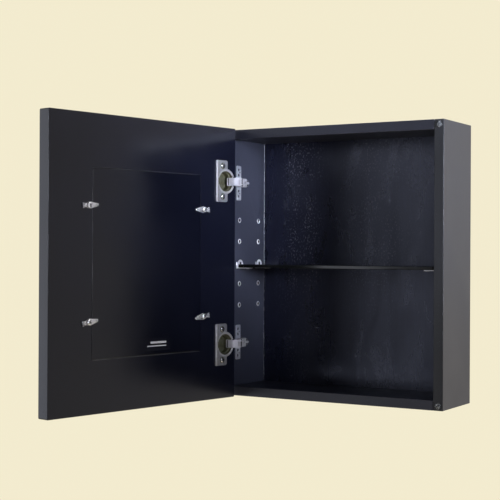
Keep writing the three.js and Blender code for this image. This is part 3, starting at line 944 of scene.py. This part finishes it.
def arm_nose():
    """The arm's front end: out from under the channel, round the link's pin and back on top."""
    outline = [(ARM_LOW, 4), (ARM_LOW, 0), (NOSE_X - NOSE_RADIUS, NOSE_Y + 7)]
    outline += fillet(NOSE_X, NOSE_Y, NOSE_RADIUS, 180, 360, 12)
    outline += [(NOSE_X + NOSE_RADIUS, -1.9), (ARM_HIGH, 8)]
    return soften(prism(outline, -NOSE_WIDTH / 2, NOSE_WIDTH / 2), 0.5, 3)


def arm_marks():
    """Thin dark strips of painted shade: along the seam behind the pin and in the tail's bites."""
    proud = 0.06
    face, top = NOSE_X + NOSE_RADIUS, ARM_HIGH - FORK_DROP
    marks = [
        box((ARM_HIGH - 1, 4.2, -5.9), (ARM_HIGH + proud, 6.8, 5.9)),
        box((face - 0.5, NOSE_Y, -3.2), (face + proud, NOSE_Y + 2.4, 3.2)),
    ]
    for end in (-1, 1):
        low, high = sorted((end * 1.9, end * 4.3))
        marks.append(box((top - 0.4, ARM_TAIL + 1.4, low), (top + 0.1, ARM_TAIL + 3.6, high)))
    return marks


def hinge_arm():
    """The arm, x = 0 on the side panel's face and y = 0 at the carcass front."""
    tongue = box((ARM_LOW, ARM_TAIL - 1, -1.5), (ARM_HIGH - 0.6, ARM_TONGUE, 1.5))
    soften(tongue, 0.7, 3)
    pin = shifted(rod(1.2, 6.3, 0.3), NOSE_X, NOSE_Y)
    metal = shells(ARM_STEEL, arm_channel(), arm_fork(), arm_nose(), tongue, pin)
    return join(metal, shells(PAINTED_SHADE, *arm_marks()))


def link_web(path, tip_frame):
    """The link's bent plate, hollow on its inner side and cleared round the arm's nose."""
    half = LINK_WIDTH / 2
    web = prism(ribbon(path, LINK_WALL, LINK_WALL), -half, half)
    cut(web, prism(ribbon(path, -0.1, 1.4), LINK_WALL - half, half - LINK_WALL))
    radius = NOSE_RADIUS + 0.4
    cut(web, lathe([(0, -3.8), (radius, -3.8), (radius, 3.8), (0, 3.8)], 32))
    groove = box((-2.6, 0.5, -half - 1), (-1.5, 2.2, half + 1))
    cut(web, moved(groove, tip_frame))
    return soften(web, 0.3, 2)


def hinge_link():
    """The link about its pivot: two ears and a bent web that reaches into the cup."""
    half = LINK_WIDTH / 2
    path = smooth_path(LINK_COURSE, 2.4)
    tip = path[-1]
    along = path[-1] - path[-2]
    lean = Matrix.Rotation(math.atan2(along.y, along.x), 4, "Z")
    tip_frame = at(tip.x, tip.y, 0) @ lean
    metal = [link_web(path, tip_frame)]
    for end in (-1, 1):
        ear = tube([(1.5, -1), (2.6, -1), (2.6, 1), (1.5, 1)], 28)
        metal.append(shifted(soften(ear, 0.2, 2), z=end * (half - 1)))
    metal.append(shifted(rod(1.7, half, 0.2), tip.x + 0.9, tip.y + 0.3))
    # A dark strip in the groove by the tip: painted shade.
    shade = moved(box((-3.1, 0.3, -half + 0.4), (-1.4, 1.36, half - 0.4)), tip_frame)
    return join(shells(LINK_STEEL, *metal), paint(shade, PAINTED_SHADE))


def build_fixed_hinges():
    plates = copies(mounting_plate(), 2)
    arms = copies(hinge_arm(), 2)
    links = copies(hinge_link(), 2)
    adjusters = copies(screw_mesh(2.7, 0.9, 1.4, 3, SCREW_STEEL), 4)
    screws = copies(screw_mesh(3.0, 1.3, 1.8, 10, PLATE_STEEL), 4)
    outwards = spin(90, "Y")
    for sign, name in ((1, "upper"), (-1, "lower")):
        z = MIDDLE + sign * HINGE_RISE
        seat = at(-WALL, FRONT, z)
        fixed = ("carcass", "nickel")
        place(plates.pop(), f"mounting_plate_{name}", seat, *fixed, [f"hinge_plate_{name}"])
        place(arms.pop(), f"arm_{name}", seat, *fixed, [f"hinge_arm_{name}"])
        body = f"hinge_link_{name}"
        place(links.pop(), f"link_{name}", at(PIVOT.x, PIVOT.y, z), body, "nickel", [body])
        for part, (behind, sunk) in ADJUSTERS.items():
            matrix = seat @ at(ARM_HIGH - sunk, behind, 0) @ outwards
            place(adjusters.pop(), f"adjusting_screw_{name}_{part}", matrix, *fixed)
        for end, end_name in ((1, "top"), (-1, "bottom")):
            matrix = seat @ at(2.0, PLATE_MIDDLE, end * PLATE_SCREW_RISE) @ outwards
            matrix = matrix @ spin(35 + 50 * end * sign)
            node = f"hinge_plate_screw_{name}_{end_name}"
            place(screws.pop(), node.removeprefix("hinge_"), matrix, *fixed, [node])


# -------- door


def door_ring(half_width, half_height, radius, depth):
    ring = rounded_rectangle(half_width, half_height, radius)
    return [(x + WIDTH / 2, -depth, z) for x, z in ring]


def sheet(*rims):
    """A sheet in the rebate, through rims given as inset, corner radius and depth."""
    w, h = (size / 2 - REBATE_CLEARANCE for size in REBATE)
    return rings([door_ring(w - inset, h - inset, radius, depth) for inset, radius, depth in rims])


def door_slab():
    """The door as one moulded ring: outer edges, front moulding, sight opening and rebate."""
    w, h = WIDTH / 2, HEIGHT / 2
    rw, rh = REBATE[0] / 2, REBATE[1] / 2
    sw, sh = rw - SIGHT_MARGIN, rh - SIGHT_MARGIN
    t = DOOR_THICKNESS
    outer = [(0.8, 0), (0.23, 0.23), (0, 0.8), (0, t - 1.2), (0.35, t - 0.35), (1.2, t)]
    loops = [door_ring(w - inset, h - inset, 1.6 - inset * 0.8, depth) for inset, depth in outer]
    loops += [door_ring(sw + out, sh + out, 0.3, t - sunk) for out, sunk in MOULDING]
    loops += [
        door_ring(sw, sh, 0.3, REBATE_DEPTH),
        door_ring(rw, rh, 0.6, REBATE_DEPTH),
        door_ring(rw, rh, 0.6, REBATE_CHAMFER),
        door_ring(rw + REBATE_CHAMFER, rh + REBATE_CHAMFER, 0.8, 0),
    ]
    slab = rings(loops, closed=True)
    for sign in (-1, 1):
        bore = prism(circle(CUP_RADIUS + 0.4, 72), -1, CUP_DEPTH + 0.4)
        cut(slab, shifted(turned(bore, 90, "X"), CUP_INSET, 0, sign * HINGE_RISE))

    # The rebate's chamfer takes the paler edge colour: partly wear, partly a painted highlight.
    def on_chamfer(face):
        x, y, z = face.center
        beside = abs(x - WIDTH / 2) < rw - 1 and abs(z) < rh + 1
        return beside and -REBATE_CHAMFER < y < 0 and abs(face.normal.y) < 0.95

    return repaint(paint(smooth(slab), DOOR_LACQUER, WORN_AND_HIGHLIT_EDGE), on_chamfer)


def backing_sheet():
    """The backing panel, with a paler arris down its free side: partly wear, partly a painted
    highlight.
    """
    top, bottom = SEAM, SEAM + BACKING_THICKNESS
    backing = sheet((0.6, 1.0, top), (0.1, 1.0, top + 0.3), (0, 1.0, top + 0.6), (0, 1.0, bottom))
    free_side = (WIDTH + REBATE[0]) / 2 - REBATE_CLEARANCE - 1

    def on_arris(face):
        return face.center.x > free_side and 0.05 < -top - face.center.y < 0.35

    return repaint(paint(smooth(backing), BACKING, WORN_AND_HIGHLIT_EDGE), on_arris)


def label_sheet():
    """A blank black label with a pale printed bar and rule: no lettering."""
    outline = rounded_rectangle(LABEL[0] / 2, LABEL[1] / 2, 1.2)
    loops = [[(x, lift, z) for x, z in outline] for lift in (LABEL_THICKNESS, 0.02)]
    card = paint(smooth(rings(loops), 30), LABEL_BLACK)
    low, high = LABEL_THICKNESS - 0.05, LABEL_THICKNESS + 0.04
    bar = box((-17, low, 1.4), (13, high, 4.2))
    rule = box((-17, low, -2.8), (19, high, -1.2))
    return join(card, shells(LABEL_INK, bar, rule))


def mirror_sheet():
    """Flat glass with a polished bevel round its front face."""
    back = SEAM + BACKING_THICKNESS + FIT / 2
    face = back + MIRROR_THICKNESS
    edge = [(0, 1.2, back), (0, 1.2, face - 1.1), (0.3, 1.0, face - 0.8)]
    mirror = paint(smooth(sheet(*edge, (MIRROR_BEVEL, 0.3, face)), 2), MIRROR, MIRROR_EDGE)
    return repaint(mirror, lambda polygon: abs(polygon.normal.y) < 0.5)


def cup_link_room():
    """The room in the cup's near wall that the link swings through."""
    half = LINK_WIDTH / 2 + 1
    return box((-CUP_INSET, -half, 0), (-9, half, CUP_TOP + 1))


def cup_shell():
    """The drawn cup, with pockets in its far wall for the arm's nose and pin."""
    floor = -CUP_DEPTH
    profile = [(0, floor)]
    profile += fillet(CUP_RADIUS - 2.2, floor + 2.2, 2.2, 270, 360, 6)
    profile += [(CUP_RADIUS, FIT), (CUP_RADIUS + 1.2, FIT)]
    profile += fillet(CUP_RADIUS + 0.6, CUP_TOP - 0.6, 0.6, 0, 90, 4)
    profile += fillet(CUP_INNER + 1.0, CUP_TOP - 1.0, 1.0, 90, 180, 5)
    profile += [(CUP_INNER, -4.0), (CUP_INNER - 1.3, -4.4)]
    profile += fillet(CUP_INNER - 2.9, floor + 2.2, 1.6, 0, -90, 6)
    profile += [(6.5, floor + 0.6), (6.1, floor + 1.1), (0, floor + 1.1)]
    nose_room = box((6, -4.3, -11.8), (15.9, 4.3, CUP_TOP + 1))
    pin_room = box((6, -6.8, -11.7), (13.7, 6.8, -3.9))
    shell = smooth(cut(lathe(profile, 72), cup_link_room(), nose_room, pin_room))

    # The cup's inside is olive steel darkened as painted shade.
    def inside(face):
        return face.center.z < CUP_TOP - 1.6 and face.center.xy.length < CUP_INNER + 0.1

    return repaint(paint(shell, NICKEL, CUP_STEEL_AND_SHADE), inside)


def cup_ears():
    """The flange with its two screw holes, in a darker copy of the nickel: painted shade."""
    outline = [(x + CUP_EARS_MIDDLE, y) for x, y in rounded_rectangle(*CUP_EARS, 3)]
    ears = prism(outline, FIT + 0.05, CUP_TOP - 0.05)
    cut(ears, prism(circle(CUP_INNER + 1.2, 72), -1, 3))
    for end in (-1, 1):
        hole = circle(2.1, 24, CUP_SCREW_INSET - CUP_INSET, end * CUP_SCREW_RISE)
        cut(ears, prism(hole, -1, 3))
    cut(ears, cup_link_room())
    return paint(soften(ears, 0.22, 2), EAR_SHADED_STEEL)


def cup_lip():
    """The raised lip down the flange's edge."""
    near, far, half = CUP_LIP
    lip = soften(box((near, -half, FIT), (far, half, CUP_TOP + 1.3)), 1.0, 4)
    return paint(lip, NICKEL)


def cup_trims():
    """Painted shade on the flange: a dark line beside the lip, and a dark ring round each screw."""
    low, top = CUP_TOP - 0.3, CUP_TOP
    trims = [box((15.7, -29.6, low), (17.2, 29.6, top))]
    for end in (-1, 1):
        ring = tube([(3.5, low), (4.7, low), (4.7, top), (3.5, top)], 32)
        trims.append(shifted(ring, CUP_SCREW_INSET - CUP_INSET, end * CUP_SCREW_RISE))
    return shells(CUP_STEEL_AND_SHADE, *trims)


def hinge_cup():
    """The cup about Z, its mouth on the door's face, with a two-eared flange and a lip."""
    return join(cup_shell(), cup_ears(), cup_lip(), cup_trims())


def button_outline():
    """The turn button about its screw, pointing along +X."""
    upper = fillet(BUTTON_TIP, 0, BUTTON_TIP_RADIUS, 0, 82, 5)
    upper += [(BUTTON_TIP - 3.5, 2.5), (BUTTON_TIP - 7, 3.2)]
    for k in range(9):
        t = k / 8
        x = (1 - t) ** 2 * 4.5 + t * t * -4.8
        y = (1 - t) ** 2 * 3.9 + 2 * t * (1 - t) * 5.8 + t * t * 2.4
        upper.append((x, y))
    upper += [(-6.8, 2.75), (-8.8, 3.1), (BUTTON_TAIL + 0.3, 3.6), (BUTTON_TAIL, 3.3)]
    lower = [(x, -y) for x, y in upper[:0:-1]]
    return upper + lower


def button_lift(x, y):
    """How far the stamped clip rises: a raised tip and a ribbed tail that curls up."""
    tip = 0.75 * math.exp(-(((x - 9.5) / 2.6) ** 2) - (y / 1.9) ** 2)
    curl = 0.022 * max(0.0, -x - 5.0) ** 2
    rib = 0.35 * math.exp(-(((x + 8.0) / 2.2) ** 2) - (y / 1.2) ** 2)
    return tip + curl + rib


def turn_button():
    """A stamped clip with a raised tip, a small hole, a curled tail and a dark ring of painted
    shade round its screw.
    """
    outline = button_outline()
    base, top = FIT, FIT + BUTTON_THICKNESS
    layers = [(1.0, base), (1.0, top - 0.45), (0.985, top - 0.18), (0.955, top - 0.04)]
    layers += [(0.9 - 0.09 * k, top) for k in range(10)]
    loops = []
    for scale, z in layers:
        loop = [(x * scale, y * scale) for x, y in outline]
        loops.append([(x, y, z + (button_lift(x, y) if z > base else 0)) for x, y in loop])
    button = rings(loops)
    cut(button, prism(circle(0.9, 24, 13.6), -1, 5))
    paint(smooth(button, 50), BRIGHT_NICKEL)
    low, high = top - 0.3, top + 0.05
    ring = tube([(3.6, low), (4.5, low), (4.5, high), (3.6, high)], 32)
    return join(button, paint(ring, PAINTED_SHADE))


def build_door():
    label_place = DOOR @ at(WIDTH / 2 - LABEL_OFFSET, -SEAM, LABEL_RISE)
    place(door_slab(), "door_slab", DOOR, "door", "satin_black", ["door_panel"])
    place(backing_sheet(), "door_backing", DOOR, "door", "satin_black", ["backing_panel"])
    place(label_sheet(), "blank_label", label_place, "door", "satin_black")
    place(mirror_sheet(), "door_mirror", DOOR, "door", "mirror", ["mirror"])


def build_cups():
    cups = copies(hinge_cup(), 2)
    screws = copies(screw_mesh(3.8, 1.8, 1.8, 11, SCREW_STEEL), 4)
    for sign, name in ((1, "upper"), (-1, "lower")):
        z = sign * HINGE_RISE
        matrix = DOOR @ at(CUP_INSET, 0, z) @ OUT_OF_DOOR
        place(cups.pop(), f"cup_{name}", matrix, "door", "nickel", [f"hinge_cup_{name}"])
        for end, end_name in ((1, "top"), (-1, "bottom")):
            seat = at(CUP_SCREW_INSET, CUP_TOP + SEAM, z + end * CUP_SCREW_RISE)
            matrix = DOOR @ seat @ OUT_OF_DOOR @ spin(20 + 33 * end + 14 * sign)
            node = f"hinge_cup_screw_{name}_{end_name}"
            place(screws.pop(), node.removeprefix("hinge_"), matrix, "door", "nickel", [node])


def build_turn_buttons():
    buttons = copies(turn_button(), len(BUTTON_LEANS))
    screws = copies(screw_mesh(3.7, 2.0, 1.5, 11, BRIGHT_NICKEL), len(BUTTON_LEANS))
    for number, (name, lean) in enumerate(BUTTON_LEANS.items()):
        body = f"turn_button_{name}"
        pivot = DOOR.inverted() @ joint_place(f"{body}_turn")
        seat = DOOR @ at(pivot.x, 0, pivot.z) @ OUT_OF_DOOR
        matrix = seat @ spin(lean + (180 if name.startswith("free") else 0))
        place(buttons.pop(), f"button_{name}", matrix, body, "nickel", [body])
        matrix = seat @ at(0, 0, 2 * FIT + BUTTON_THICKNESS) @ spin(15 + 40 * number)
        node = f"turn_button_screw_{name}"
        place(screws.pop(), f"button_screw_{name}", matrix, "door", "nickel", [node])


def bumper_mesh():
    """A low clear dome about Z."""
    radius, rise = BUMPER_RADIUS, BUMPER_HEIGHT - BUMPER_RIM
    profile = [(0, 0), (radius - 0.15, 0), (radius, 0.15)]
    for k in range(9):
        angle = math.radians(90 * k / 9)
        profile.append((radius * math.cos(angle), BUMPER_RIM + rise * math.sin(angle)))
    profile.append((0, BUMPER_HEIGHT))
    return paint(smooth(lathe(profile, 40)), SILICONE)


def build_bumpers():
    bumpers = copies(bumper_mesh(), 2)
    for name in ("upper", "lower"):
        node = f"bumper_{name}"
        middle = node_middle(node)
        matrix = at(middle.x, node_box(node)[1].y, middle.z) @ spin(90, "X")
        place(bumpers.pop(), f"clear_{node}", matrix, "carcass", "clear_rubber", [node])


# -------- camera, lights and floor


def build_camera():
    """Level, just above the cabinet's mid height, looking 31 degrees to the left."""
    data = bpy.data.cameras.new("camera")
    data.sensor_width = 36
    data.lens = CAMERA_LENS
    data.clip_start = 0.02
    camera = linked("camera", data)
    aim = spin(CAMERA_YAW) @ spin(90 + CAMERA_PITCH, "X") @ spin(CAMERA_ROLL)
    camera.matrix_world = at(*CAMERA_PLACE) @ aim
    bpy.context.scene.camera = camera


def area_light(name, location, target, size, brightness, colour=(1.0, 1.0, 1.0), spread=180):
    """A softbox of the given radiance, its beam kept within a spread in degrees."""
    data = bpy.data.lights.new(name, "AREA")
    data.shape = "RECTANGLE"
    data.size, data.size_y = size
    data.energy = brightness * math.pi * size[0] * size[1]
    data.color = colour
    data.spread = math.radians(spread)
    light = linked(name, data)
    light.location = location
    aim = Vector(target) - Vector(location)
    light.rotation_euler = aim.to_track_quat("-Z", "Y").to_euler()


def build_lights():
    middle = (0, -0.1, MIDDLE * MM)
    upper_hinge = (-0.16, -0.06, 0.08)
    area_light("key", (1.635, -0.65, 0.12), upper_hinge, (0.5, 0.5), 2.35, (0.80, 0.86, 1.0), 18)
    area_light("right_fill", (1.9, -0.8, 0.1), middle, (0.9, 1.4), 0.8, (0.95, 0.97, 1.0))
    area_light("front_soft", (-0.3, -2.4, 0.0), middle, (1.6, 1.4), 0.12)
    area_light("ceiling", (-0.4, 1.0, 2.2), (-0.4, 1.0, 0.0), (2.6, 1.6), 10, (1.0, 0.98, 0.95))
    area_light("left_window", (-1.55, -1.55, 0.0), middle, (1.9, 1.5), 1.6, (0.86, 0.89, 1.0))
    bpy.context.scene.view_settings.view_transform = "Standard"


def build_world():
    """A pale cream backdrop, and a cooler light that comes mostly from behind the cabinet."""
    n = Nodes("room", "worlds")
    bpy.context.scene.world = n.block
    backdrop = n.tree.nodes["Background"]
    backdrop.inputs["Color"].default_value = (*BACKDROP, 1)
    direction = n.add("ShaderNodeTexCoord").outputs["Generated"]
    axis = n.add("ShaderNodeSeparateXYZ", {0: direction}).outputs
    room = n.colours(n.ramp(axis["Y"], 0.0, 1.0, -0.1, 1.0), ROOM_FRONT, ROOM_BACK)
    light = n.add("ShaderNodeBackground", {"Color": room})
    seen = n.add("ShaderNodeLightPath").outputs["Is Camera Ray"]
    mix = n.add("ShaderNodeMixShader", {0: seen, 1: light.outputs[0], 2: backdrop.outputs[0]})
    n.tree.links.new(mix.outputs[0], n.tree.nodes["World Output"].inputs[0])


def build_stage():
    """A pale floor far below the hanging cabinet."""
    n = Nodes("pale_floor")
    cloud = n.noise(n.position(), 3.0, 3.0)
    shade = n.colours(n.ramp(cloud, 0.0, 1.0), (0.80, 0.74, 0.58), (0.83, 0.77, 0.61))
    n.link(shade, "Base Color")
    n.set(Roughness=0.8)
    low, high = FLOOR_LEVEL - 20, FLOOR_LEVEL
    floor = box((-FLOOR_HALF, -FLOOR_HALF, low), (FLOOR_HALF, FLOOR_HALF, high))
    moved(floor, Matrix.Scale(MM, 4))
    floor.name = "floor"
    paint(floor, n.block)


# -------- everything

build_camera()
build_world()
build_lights()
build_stage()
build_carcass()
build_shelf()
build_sleeves()
build_supports()
build_fixed_hinges()
build_door()
build_cups()
build_turn_buttons()
build_bumpers()
